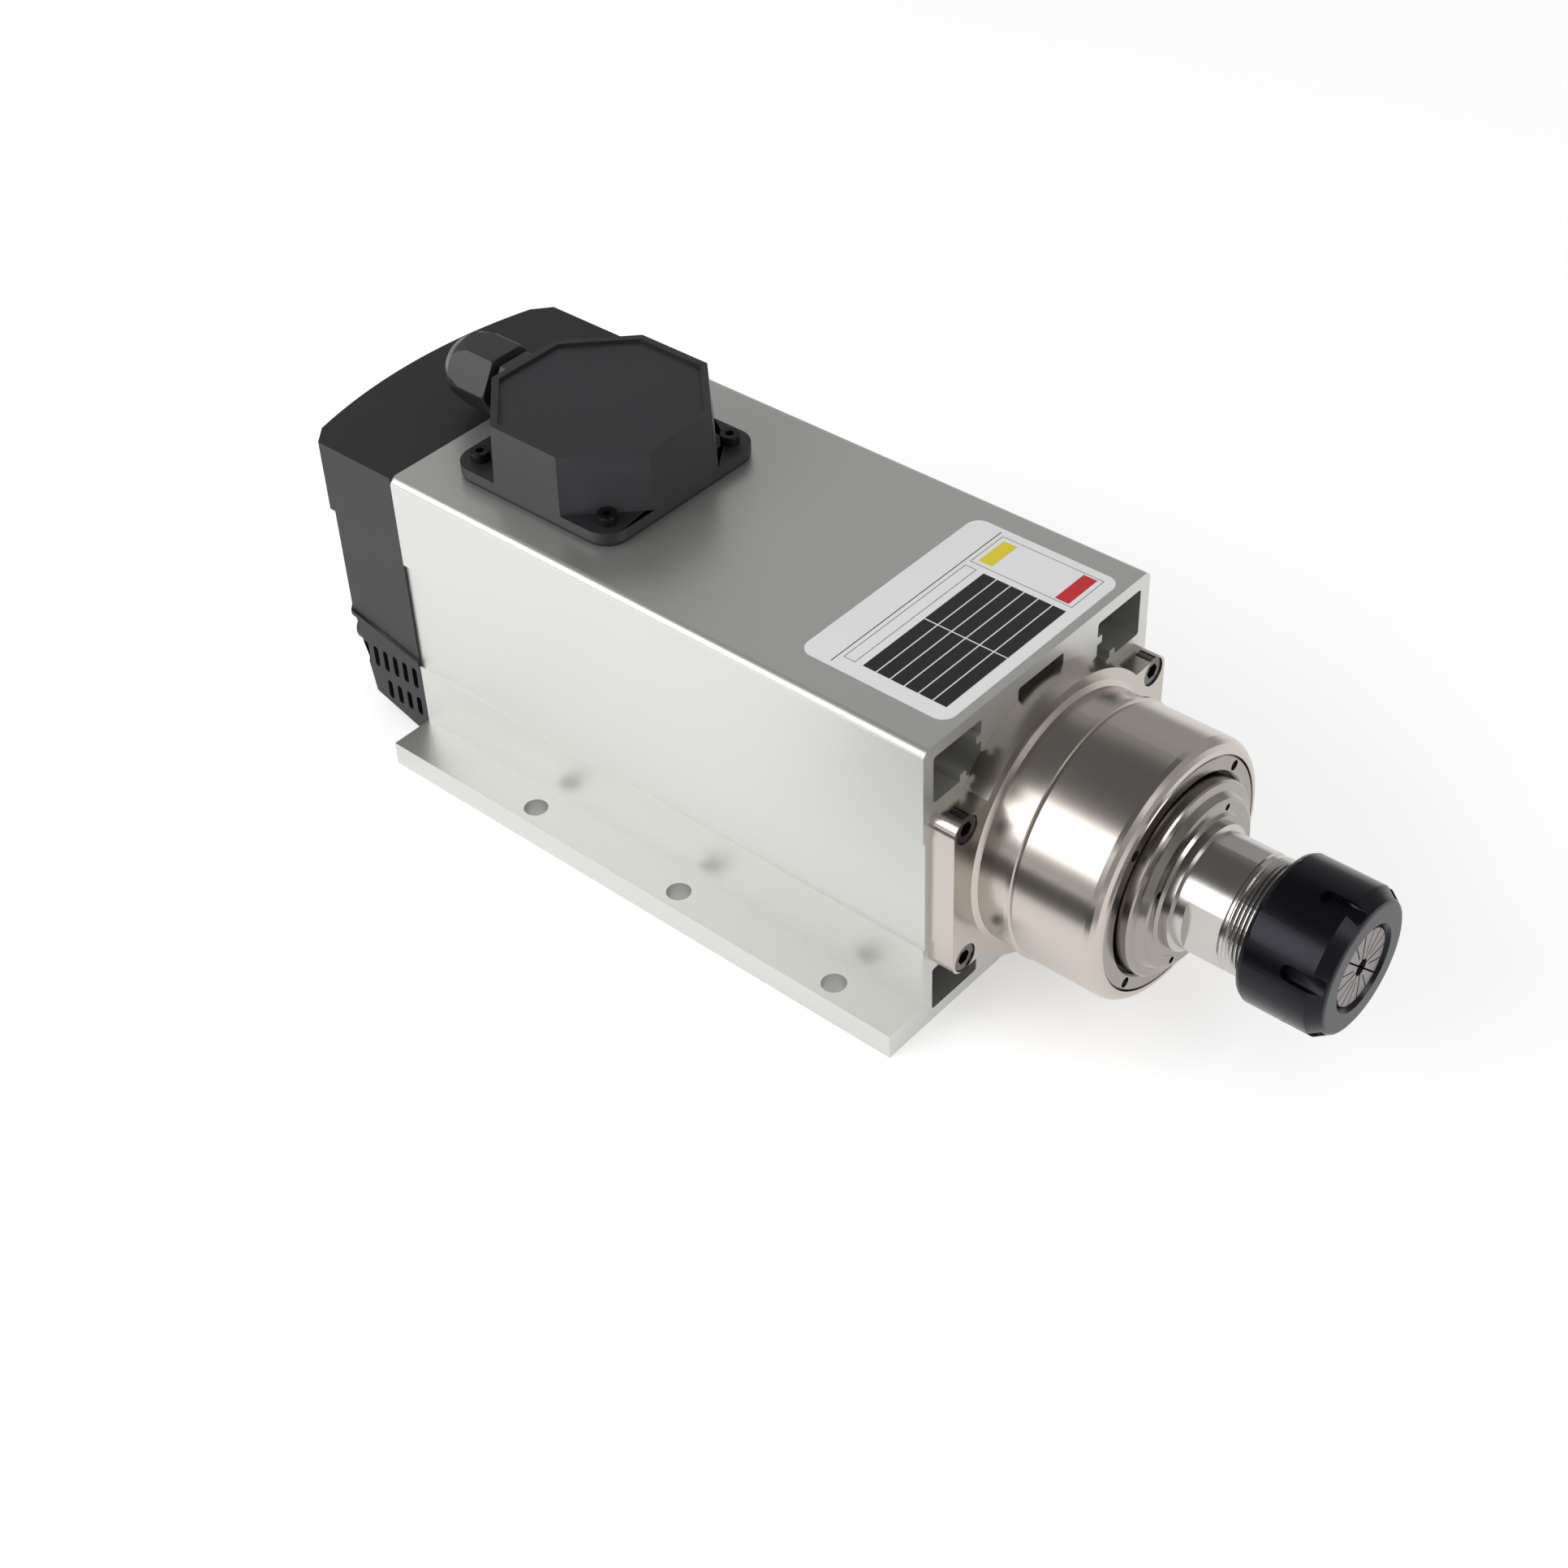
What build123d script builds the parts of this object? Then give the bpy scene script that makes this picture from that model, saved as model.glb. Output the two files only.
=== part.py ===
"""Air-cooled router spindle with a flanged body and an ER collet nose, in millimetres.

The spindle axis lies along +X with the nose at +X, +Z is up, and the origin sits on the
mounting face at the centre of the base bolt pattern.
"""
from build123d import *
import os
from math import cos, radians, sin, sqrt, tan

os.makedirs("parts", exist_ok=True)

# driving dimensions: body and base
BODY_W = 120.0          # width of the extruded body
BODY_H = 120.0          # height of the body above the mounting face
BODY_L = 240.0
FLANGE_W = 155.0        # width over the two mounting rails
FLANGE_T = 10.0
AXIS_Z = BODY_H / 2     # spindle axis above the mounting face
BOLT_PITCH = 71.0       # along X, three bolts each side
BOLT_SPAN = FLANGE_W - 15.0          # across Y
BOLT_D = 9.0
FRONT_X = 101.0         # front end of the extrusion; the middle bolts are at X = 0
REAR_X = FRONT_X - BODY_L
WALL = 5.0              # outer wall of the extrusion
BORE_R = 43.0           # stator bore
POCKET_W, POCKET_H = 24.0, 18.5      # corner air channels
SLOT_W, SLOT_H = 24.0, 8.5           # middle channels, top and bottom
BAND_LOW, BAND_HIGH, BAND_D = 36.0, 82.5, 1.0   # shallow recess along each side

# driving dimensions: nose
PLATE_W, PLATE_H, PLATE_T = BODY_W - 6.0, 66.0, 10.0
PLATE_R = 52.0
EAR_Y, EAR_Z = BODY_W / 2 - 9.5, 28.0            # nose and end shield screws from the axis
NOSE_R = 46.7
NOSE_END = 158.0
SPIGOT = 20.0
CAP_T = 8.0
CAP_SCREW_R = 38.9
RING_R, RING_STEP_R = 34.8, 29.0     # labyrinth ring
RING_X = NOSE_END + 4.0
RING_STEP_X = RING_X + 3.5
SHAFT_NECK_R = 20.6
THREAD_R = 20.0                      # M40 x 1.5
THREAD_X = RING_STEP_X + 20.5
SHAFT_END = THREAD_X + 30.0
NUT_R, NUT_X, NUT_END = 26.0, SHAFT_END - 21.0, SHAFT_END + 9.5
HOOK_W, HOOK_L, HOOK_DEEP = 5.6, 15.5, 2.7
COLLET_R = 3.0
COLLET_FACE = NUT_END - 1.0
TAPER = tan(radians(8.0))            # ER taper, 8 degrees a side
TRAVEL_GAP = 0.05                    # collet to shaft taper, and collet to nut cone

# driving dimensions: running gear
FRONT_BRG = (22.5, 37.5, 16.0)       # bore radius, outer radius, width of each front bearing
REAR_BRG = (15.0, 27.5, 13.0)
FRONT_BRG_END = NOSE_END - CAP_T     # front face of the front pair
REAR_BRG_X = REAR_X + 5.0            # rear face of the rear bearing
STACK = (-55.0, 45.0)                # stator core from, to
AIR_GAP = 0.5
ROTOR_R = 25.0
SEAT_R = 18.0                        # shaft under the rotor core
FAN_SEAT_R = 9.0
SHIELD_T = 8.0
FIT = 0.02                           # radial clearance of located, fixed parts

# driving dimensions: terminal box, gland, label and fan cover
BOX_X, BOX_Y = -85.0, -5.5
BOX_HALF, BOX_TOP_HALF = 39.0, 37.8
BOX_TOP = BODY_H + 28.5
BOX_FLOOR = BODY_H + 5.5             # top of the four screw corners
BOX_WALL = 3.0
BOX_SCREW = 31.0
GASKET_T = 1.5
GLAND_Z = BODY_H + 15.5
GLAND_R, GLAND_BORE_R = 8.5, 5.0
COVER_T = 3.0
COVER_END = -190.5                   # rearmost point of the fan cover
COVER_ARC, COVER_CORNER = 188.5, 7.0  # bow of the rear face, and the cut at its two ends
COVER_STEP = BODY_H - 29.0           # small step across the rear face
COVER_RIDGE = (46.0, 37.0)           # ridge on each side: height at the rear, at the body
COVER_FOOT = 9.0                     # height where the rear face turns under
RIDGE_D = 0.9                        # how far the side stands back below the ridge
RIB_D = 0.9                          # how far the ridge itself stands proud
STEP_D, LEAN, UNDERCUT = 2.6, 6.0, 28.5      # setbacks of the rear: below the step, foot, base
BASE_GAP = 2.0                       # cover above the mounting face
GLAND_L = 34.0                       # gland tip from the box wall
LABEL = (67.5, 2.0, 60.0, 93.0)      # centre x, centre y, length x, width y

SPINDLE_AXIS = Axis((0, 0, AXIS_Z), (1, 0, 0))
FACE_YZ = Plane(origin=(0, 0, AXIS_Z), x_dir=(0, 1, 0), z_dir=(1, 0, 0))


def profile(*points):
    """A closed half section through the spindle axis: (x, radius) points."""
    with BuildSketch(Plane.XZ) as half:
        with BuildLine():
            Polyline(*[(x, AXIS_Z + r) for x, r in points], close=True)
        make_face()
    return half.sketch


def at_x(x):
    """The plane across the spindle axis at x, with local x = Y and local y = Z."""
    return FACE_YZ.offset(x)


def ear_points():
    return [(sy * EAR_Y, sz * EAR_Z) for sy in (-1, 1) for sz in (-1, 1)]


def flange_outline(width, height, radius):
    """Square plate with ears joined to a round middle."""
    with BuildSketch(FACE_YZ) as face:
        RectangleRounded(width, height, 5.0)
        Circle(radius)
    return face.sketch


def save(part, label):
    part.label = label
    export_step(part, f"parts/{label}.step")


# body: one extruded section with a bore, corner channels and two mounting rails
with BuildPart() as body_extrusion:
    with BuildSketch(at_x(REAR_X)) as section:
        with Locations((0, BODY_H / 2 - AXIS_Z)):
            RectangleRounded(BODY_W, BODY_H, 3.0)
        with Locations((0, FLANGE_T / 2 - AXIS_Z)):
            Rectangle(FLANGE_W, FLANGE_T)
        chamfer([v for v in section.vertices() if abs(v.Y) > BODY_W / 2 + 5 and v.Z > 1], 1.2)
        band = (BAND_LOW + BAND_HIGH) / 2 - AXIS_Z
        with Locations((-BODY_W / 2, band), (BODY_W / 2, band)):
            Rectangle(2 * BAND_D, BAND_HIGH - BAND_LOW, mode=Mode.SUBTRACT)
        Circle(BORE_R, mode=Mode.SUBTRACT)
        pocket_y = BODY_W / 2 - WALL - POCKET_W / 2
        pocket_z = BODY_H / 2 - WALL - POCKET_H / 2
        corners = [(sy * pocket_y, sz * pocket_z) for sy in (-1, 1) for sz in (-1, 1)]
        with Locations(*corners):
            RectangleRounded(POCKET_W, POCKET_H, 1.2, mode=Mode.SUBTRACT)
        slot_z = BODY_H / 2 - WALL - SLOT_H / 2
        with Locations((0, slot_z), (0, -slot_z)):
            RectangleRounded(SLOT_W, SLOT_H, 1.0, mode=Mode.SUBTRACT)
        for sy, sz in ((-1, -1), (-1, 1), (1, -1), (1, 1)):
            with Locations((sy * (pocket_y - POCKET_W / 2 + 1.0), sz * (pocket_z + 2.0)),
                           (sy * (pocket_y - 3.0), sz * (pocket_z - POCKET_H / 2 + 1.2))):
                Rectangle(3.0, 3.0)
    extrude(amount=BODY_L)
    with BuildSketch(Plane.XY) as bolt_holes:
        with GridLocations(BOLT_PITCH, BOLT_SPAN, 3, 2):
            Circle(BOLT_D / 2)
    extrude(amount=FLANGE_T, mode=Mode.SUBTRACT)
    with BuildSketch(at_x(FRONT_X)) as nose_taps:
        with Locations(*ear_points()):
            Circle(2.6)
    extrude(amount=-22, mode=Mode.SUBTRACT)
    with BuildSketch(at_x(REAR_X)) as shield_taps:
        with Locations(*ear_points()):
            Circle(2.1)
    extrude(amount=18, mode=Mode.SUBTRACT)
    with BuildSketch(Plane.XY.offset(BODY_H)) as box_taps:
        with Locations(*[(BOX_X + sx * BOX_SCREW, BOX_Y + sy * BOX_SCREW)
                         for sx in (-1, 1) for sy in (-1, 1)]):
            Circle(1.6)
        with Locations((BOX_X, BOX_Y)):
            Circle(9.0)
    extrude(amount=-WALL - 12.0, mode=Mode.SUBTRACT)
save(body_extrusion.part, "body_extrusion")

# nose: eared plate, spigot and stepped cylinder bored for the front bearings
front_brg_x = FRONT_BRG_END - 2 * FRONT_BRG[2]
with BuildPart() as nose_housing:
    extrude(flange_outline(PLATE_W, PLATE_H, PLATE_R), amount=PLATE_T)
    nose_housing.part.position = (FRONT_X, 0, 0)
    plate_end = FRONT_X + PLATE_T
    revolve(profile((FRONT_X - SPIGOT, 0), (FRONT_X - SPIGOT, BORE_R - FIT),
                    (FRONT_X + 1, BORE_R - FIT), (FRONT_X + 1, NOSE_R + 1.3), (plate_end, NOSE_R + 1.3),
                    (plate_end + 1.2, NOSE_R - 0.6), (plate_end + 12.0, NOSE_R - 0.6),
                    (plate_end + 12.4, NOSE_R + 0.5), (plate_end + 14.0, NOSE_R + 0.5),
                    (plate_end + 14.6, NOSE_R - 0.5), (plate_end + 15.4, NOSE_R),
                    (NOSE_END - 4.5, NOSE_R), (NOSE_END - 2.7, NOSE_R - 0.4),
                    (NOSE_END - 1.2, NOSE_R - 1.5), (NOSE_END - 0.3, NOSE_R - 3.0),
                    (NOSE_END, NOSE_R - 4.4), (NOSE_END, 0)), axis=SPINDLE_AXIS)
    revolve(profile((FRONT_X - SPIGOT - 1, 0), (FRONT_X - SPIGOT - 1, 33.0), (front_brg_x, 33.0),
                    (front_brg_x, FRONT_BRG[1] + FIT), (FRONT_BRG_END, FRONT_BRG[1] + FIT),
                    (FRONT_BRG_END, 42.0), (NOSE_END + 1, 42.0), (NOSE_END + 1, 0)),
            axis=SPINDLE_AXIS, mode=Mode.SUBTRACT)
    with BuildSketch(at_x(FRONT_X)) as ear_holes:
        with Locations(*ear_points()):
            Circle(3.2)
    extrude(amount=PLATE_T, mode=Mode.SUBTRACT)
    with BuildSketch(at_x(plate_end)) as ear_counterbores:
        with Locations(*ear_points()):
            Circle(5.3)
    extrude(amount=-6.6, mode=Mode.SUBTRACT)
    with BuildSketch(at_x(FRONT_BRG_END)) as cap_taps:
        with PolarLocations(CAP_SCREW_R, 4, start_angle=45):
            Circle(1.25)
    extrude(amount=-12, mode=Mode.SUBTRACT)
save(nose_housing.part, "nose_housing")

# socket screws hold the nose to the extrusion
with BuildPart() as nose_screws:
    with BuildSketch(at_x(plate_end - 6.6)) as heads:
        with Locations(*ear_points()):
            Circle(5.0)
    extrude(amount=6.0)
    with BuildSketch(at_x(plate_end - 6.6)) as shanks:
        with Locations(*ear_points()):
            Circle(2.58)
    extrude(amount=-22)
    with BuildSketch(at_x(plate_end - 0.6)) as sockets:
        with Locations(*ear_points()):
            RegularPolygon(2.88, 6)
    extrude(amount=-3, mode=Mode.SUBTRACT)
save(nose_screws.part, "nose_screws")

# annular cap clamps the front bearing pair
with BuildPart() as front_bearing_cap:
    revolve(profile((FRONT_BRG_END, RING_R + 1.2), (FRONT_BRG_END, 41.7), (NOSE_END - 0.6, 41.7),
                    (NOSE_END, 41.1), (NOSE_END, RING_R + 1.8), (NOSE_END - 0.6, RING_R + 1.2)),
            axis=SPINDLE_AXIS)
    with BuildSketch(at_x(NOSE_END)) as cap_holes:
        with PolarLocations(CAP_SCREW_R, 4, start_angle=45):
            Circle(1.9)
    extrude(amount=-4, mode=Mode.SUBTRACT)
    with BuildSketch(at_x(NOSE_END)) as cap_shanks:
        with PolarLocations(CAP_SCREW_R, 4, start_angle=45):
            Circle(1.3)
    extrude(amount=-CAP_T, mode=Mode.SUBTRACT)
save(front_bearing_cap.part, "front_bearing_cap")

with BuildPart() as cap_screws:
    with BuildSketch(at_x(NOSE_END - 4)) as cap_heads:
        with PolarLocations(CAP_SCREW_R, 4, start_angle=45):
            Circle(1.85)
    extrude(amount=2.0)
    with BuildSketch(at_x(NOSE_END - 4)) as cap_threads:
        with PolarLocations(CAP_SCREW_R, 4, start_angle=45):
            Circle(1.22)
    extrude(amount=-13)
save(cap_screws.part, "cap_screws")

# shaft: collet taper and thread at the nose, bearing seats, rotor seat and fan seat
shoulder_r = FRONT_BRG[0] + 4.0
taper_mouth = 16.4
rear_brg_end = REAR_BRG_X + REAR_BRG[2]
SHAFT_REAR = -176.0
with BuildPart() as shaft:
    revolve(profile((SHAFT_REAR, 0), (SHAFT_REAR, FAN_SEAT_R - 1), (SHAFT_REAR + 1, FAN_SEAT_R),
                    (REAR_BRG_X - 8, FAN_SEAT_R), (REAR_BRG_X - 8, REAR_BRG[0] - 1.0),
                    (REAR_BRG_X - 1, REAR_BRG[0] - 1.0), (REAR_BRG_X, REAR_BRG[0]),
                    (rear_brg_end, REAR_BRG[0]), (rear_brg_end, SEAT_R - 0.6),
                    (STACK[0] - 12, SEAT_R - 0.6), (STACK[0] - 12, SEAT_R), (STACK[1] + 12, SEAT_R),
                    (STACK[1] + 12, SEAT_R + 2), (front_brg_x - 10, SEAT_R + 2),
                    (front_brg_x - 10, shoulder_r), (front_brg_x, shoulder_r),
                    (front_brg_x, FRONT_BRG[0]), (RING_STEP_X + 3.0, FRONT_BRG[0]),
                    (RING_STEP_X + 3.5, SHAFT_NECK_R), (THREAD_X - 0.4, SHAFT_NECK_R),
                    (THREAD_X, THREAD_R), (SHAFT_END - 1, THREAD_R), (SHAFT_END, THREAD_R - 1),
                    (SHAFT_END, 0)), axis=SPINDLE_AXIS)
    revolve(profile((SHAFT_END + 1, 0), (SHAFT_END + 1, taper_mouth + TAPER),
                    (SHAFT_END - 36, taper_mouth - 36 * TAPER), (SHAFT_END - 36, 8.0),
                    (SHAFT_END - 60, 8.0), (SHAFT_END - 64, 0)), axis=SPINDLE_AXIS, mode=Mode.SUBTRACT)
    flat_from, flat_to = RING_STEP_X + 7.0, THREAD_X - 0.6
    with Locations(((flat_from + flat_to) / 2, 0, AXIS_Z)):
        for side in (-1, 1):
            with Locations((0, side * (18.0 + 5.0), 0)):
                Box(flat_to - flat_from, 10.0, 60.0, mode=Mode.SUBTRACT)
save(shaft.part, "shaft")

# labyrinth ring locks the inner races and keeps dust out; its face holds balance holes
with BuildPart() as labyrinth_ring:
    revolve(profile((FRONT_BRG_END + 0.4, FRONT_BRG[0] + 0.01), (FRONT_BRG_END, FRONT_BRG[0] + 0.01),
                    (FRONT_BRG_END, FRONT_BRG[0] + 4.0), (FRONT_BRG_END + 1.2, FRONT_BRG[0] + 4.0),
                    (FRONT_BRG_END + 1.2, RING_R),
                    (RING_X - 0.6, RING_R), (RING_X, RING_R - 0.6), (RING_X + 0.6, RING_R - 3.3),
                    (RING_STEP_X - 0.5, RING_STEP_R + 1.0), (RING_STEP_X, RING_STEP_R),
                    (RING_STEP_X, RING_STEP_R - 3.5), (RING_STEP_X + 1.0, RING_STEP_R - 4.4),
                    (RING_STEP_X + 1.0, FRONT_BRG[0] + 0.01)), axis=SPINDLE_AXIS)
    with BuildSketch(at_x(RING_STEP_X + 1)) as balance_holes:
        with PolarLocations(27.2, 4, start_angle=62):
            Circle(1.25)
    extrude(amount=-6, mode=Mode.SUBTRACT)
save(labyrinth_ring.part, "labyrinth_ring")

# front bearings: a pair, as outer races, inner races and ball rings
race_w = FRONT_BRG[2] - 0.02         # leaves a hairline between the two bearings
race_starts = (front_brg_x, FRONT_BRG_END - race_w)
with BuildPart() as front_outer_races:
    for start in race_starts:
        revolve(profile((start, 33.2), (start, FRONT_BRG[1]), (start + race_w, FRONT_BRG[1]),
                        (start + race_w, 33.2)), axis=SPINDLE_AXIS)
save(front_outer_races.part, "front_outer_races")

with BuildPart() as front_inner_races:
    for start in race_starts:
        revolve(profile((start, FRONT_BRG[0] + 0.01), (start, 27.0), (start + race_w, 27.0),
                        (start + race_w, FRONT_BRG[0] + 0.01)), axis=SPINDLE_AXIS)
save(front_inner_races.part, "front_inner_races")

with BuildPart() as front_ball_rings:
    for start in race_starts:
        revolve(profile((start + 3, 27.3), (start + 3, 31.6), (start + 4.5, 32.8), (start + 11.5, 32.8),
                        (start + 13, 31.6), (start + 13, 27.3)), axis=SPINDLE_AXIS)
save(front_ball_rings.part, "front_ball_rings")

# rear bearing
with BuildPart() as rear_outer_race:
    revolve(profile((REAR_BRG_X, 23.4), (REAR_BRG_X, REAR_BRG[1]), (rear_brg_end, REAR_BRG[1]),
                    (rear_brg_end, 23.4)), axis=SPINDLE_AXIS)
save(rear_outer_race.part, "rear_outer_race")

with BuildPart() as rear_inner_race:
    revolve(profile((REAR_BRG_X, REAR_BRG[0] + 0.01), (REAR_BRG_X, 18.6), (rear_brg_end, 18.6),
                    (rear_brg_end, REAR_BRG[0] + 0.01)), axis=SPINDLE_AXIS)
save(rear_inner_race.part, "rear_inner_race")

with BuildPart() as rear_ball_ring:
    revolve(profile((REAR_BRG_X + 2.5, 18.9), (REAR_BRG_X + 2.5, 23.0), (rear_brg_end - 2.5, 23.0),
                    (rear_brg_end - 2.5, 18.9)), axis=SPINDLE_AXIS)
save(rear_ball_ring.part, "rear_ball_ring")

# stator: slotted core in the bore, copper in the slots joined by the end turns
SLOTS = 24
with BuildPart() as stator_core:
    with BuildSketch(at_x(STACK[0])) as lamination:
        Circle(BORE_R - FIT)
        Circle(ROTOR_R + AIR_GAP, mode=Mode.SUBTRACT)
        with PolarLocations(33.0, SLOTS):
            Rectangle(9.0, 4.0, mode=Mode.SUBTRACT)
    extrude(amount=STACK[1] - STACK[0])
save(stator_core.part, "stator_core")

with BuildPart() as stator_windings:
    with BuildSketch(at_x(STACK[0] - 1)) as slot_copper:
        with PolarLocations(33.0, SLOTS):
            Rectangle(8.6, 3.6)
    extrude(amount=STACK[1] - STACK[0] + 2)
    for start, end in ((STACK[0] - 20, STACK[0] - 0.8), (STACK[1] + 0.8, STACK[1] + 20)):
        revolve(profile((start + 3, 28.2), (start, 31), (start, 36), (start + 3, 39.5),
                        (end - 3, 39.5), (end, 37.5), (end, 28.2)), axis=SPINDLE_AXIS)
save(stator_windings.part, "stator_windings")

with BuildPart() as rotor_core:
    revolve(profile((STACK[0], SEAT_R), (STACK[0], ROTOR_R), (STACK[1], ROTOR_R), (STACK[1], SEAT_R)),
            axis=SPINDLE_AXIS)
save(rotor_core.part, "rotor_core")

with BuildPart() as rotor_end_rings:
    for start, end in ((STACK[0] - 8, STACK[0]), (STACK[1], STACK[1] + 8)):
        revolve(profile((start, SEAT_R), (start, ROTOR_R - 1.2), (end, ROTOR_R - 1.2), (end, SEAT_R)),
                axis=SPINDLE_AXIS)
save(rotor_end_rings.part, "rotor_end_rings")

# rear end shield carries the rear bearing on a wave spring
shield_x = REAR_X - SHIELD_T
with BuildPart() as rear_end_shield:
    extrude(flange_outline(PLATE_W - 8, PLATE_H, PLATE_R - 1), amount=SHIELD_T)
    rear_end_shield.part.position = (shield_x, 0, 0)
    revolve(profile((REAR_X - 1, 31.5), (REAR_X - 1, BORE_R - FIT), (rear_brg_end + 2, BORE_R - FIT),
                    (rear_brg_end + 2, 31.5)), axis=SPINDLE_AXIS)
    revolve(profile((REAR_X - 1, REAR_BRG[1] + FIT), (REAR_X - 1, 32.0), (rear_brg_end + 2, 32.0),
                    (rear_brg_end + 2, REAR_BRG[1] + FIT)), axis=SPINDLE_AXIS)
    revolve(profile((shield_x - 1, 0), (shield_x - 1, REAR_BRG[0] + 1.0), (REAR_BRG_X - 3, REAR_BRG[0] + 1.0),
                    (REAR_BRG_X - 3, REAR_BRG[1] + FIT), (rear_brg_end + 3, REAR_BRG[1] + FIT),
                    (rear_brg_end + 3, 0)), axis=SPINDLE_AXIS, mode=Mode.SUBTRACT)
    with BuildSketch(at_x(shield_x)) as shield_holes:
        with Locations(*ear_points()):
            Circle(2.15)
    extrude(amount=SHIELD_T, mode=Mode.SUBTRACT)
save(rear_end_shield.part, "rear_end_shield")

with BuildPart() as wave_spring:
    revolve(profile((REAR_BRG_X - 3, 23.6), (REAR_BRG_X - 3, 27.2), (REAR_BRG_X, 27.2),
                    (REAR_BRG_X, 23.6)), axis=SPINDLE_AXIS)
save(wave_spring.part, "wave_spring")

# hexagonal posts pass through the shield into the body and carry the fan cover
BOSS_X = -172.0
POST_END = BOSS_X
with BuildPart() as cover_posts:
    with BuildSketch(at_x(POST_END)) as post_hex:
        with Locations(*ear_points()):
            RegularPolygon(4.6, 6)
    extrude(amount=shield_x - POST_END)
    with BuildSketch(at_x(shield_x)) as post_studs:
        with Locations(*ear_points()):
            Circle(2.08)
    extrude(amount=22)
    with BuildSketch(at_x(POST_END)) as post_taps:
        with Locations(*ear_points()):
            Circle(1.65)
    extrude(amount=12, mode=Mode.SUBTRACT)
save(cover_posts.part, "cover_posts")

# fan: hub, backing disc and straight blades, held by a nut and washer on the shaft end
FAN_X = (-170.0, -152.0)
with BuildPart() as fan:
    revolve(profile((FAN_X[0], FAN_SEAT_R + 0.01), (FAN_X[0], 15.0), (FAN_X[1] - 3, 15.0),
                    (FAN_X[1] - 3, 44.0), (FAN_X[1], 44.0), (FAN_X[1], FAN_SEAT_R + 0.01)), axis=SPINDLE_AXIS)
    with BuildSketch(at_x(FAN_X[0] + 1)) as blades:
        with PolarLocations(29.0, 9):
            Rectangle(29.0, 2.2)
    extrude(amount=FAN_X[1] - 3 - FAN_X[0])
save(fan.part, "fan")

with BuildPart() as fan_nut:
    with BuildSketch(at_x(FAN_X[0] - 5)) as nut_hex:
        RegularPolygon(13.5, 6)
        Circle(FAN_SEAT_R + 0.01, mode=Mode.SUBTRACT)
    extrude(amount=5)
save(fan_nut.part, "fan_nut")

with BuildPart() as fan_spacer:
    revolve(profile((FAN_X[1], FAN_SEAT_R + 0.01), (FAN_X[1], 13.0), (REAR_BRG_X - 8, 13.0),
                    (REAR_BRG_X - 8, FAN_SEAT_R + 0.01)), axis=SPINDLE_AXIS)
save(fan_spacer.part, "fan_spacer")


def cover_outline(inset, shift):
    """Plan of the fan cover: straight sides and a bowed rear end, shifted towards the body."""
    half, corner = BODY_W / 2 - inset, COVER_CORNER - inset
    end_x = COVER_END + inset + shift
    edge_x = end_x + (half - corner) ** 2 / (2 * COVER_ARC)
    side_x = edge_x + 0.86 * corner
    with BuildSketch() as plan:
        with BuildLine():
            Polyline((edge_x, corner - half), (side_x, -half), (REAR_X, -half),
                     (REAR_X, half), (side_x, half), (edge_x, half - corner))
            ThreePointArc((edge_x, half - corner), (end_x, 0), (edge_x, corner - half))
        make_face()
    return plan.sketch


def cover_solid(inset):
    """The outside of the fan cover, or its inside when inset by the wall."""
    step_z, ridge_z, foot_z = COVER_STEP + inset, COVER_RIDGE[0], COVER_FOOT + inset
    with BuildPart() as block:
        for low, high in (((step_z, 0.0), (BODY_H - inset, 0.0)),
                          ((ridge_z, STEP_D), (step_z, STEP_D)),
                          ((foot_z, STEP_D + LEAN), (ridge_z, STEP_D)),
                          ((BASE_GAP + inset, STEP_D + UNDERCUT), (foot_z, STEP_D + LEAN))):
            levels = []
            for level, shift in (low, high):
                with BuildSketch(Plane.XY.offset(level)) as plan:
                    add(cover_outline(inset, shift))
                levels.append(plan.sketch)
            loft(levels, ruled=True)
    return block.part


def cover_ridge():
    """A rib that runs level round the rear and slopes down along each side."""
    turn_x, (rear_z, body_z) = COVER_END + 13.0, COVER_RIDGE
    with BuildPart() as rib:
        with BuildSketch(Plane.XY.offset(body_z - 5)):
            add(cover_outline(-RIB_D, STEP_D))
        extrude(amount=rear_z - body_z + 10)
        with BuildSketch(Plane.XZ):
            with BuildLine():
                Polyline((COVER_END - 5, rear_z + 1), (turn_x, rear_z + 1), (REAR_X, body_z + 1),
                         (REAR_X, body_z - 1), (turn_x, rear_z - 1), (COVER_END - 5, rear_z - 1),
                         close=True)
            make_face()
        extrude(amount=BODY_W, both=True, mode=Mode.INTERSECT)
    return rib.part


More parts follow.
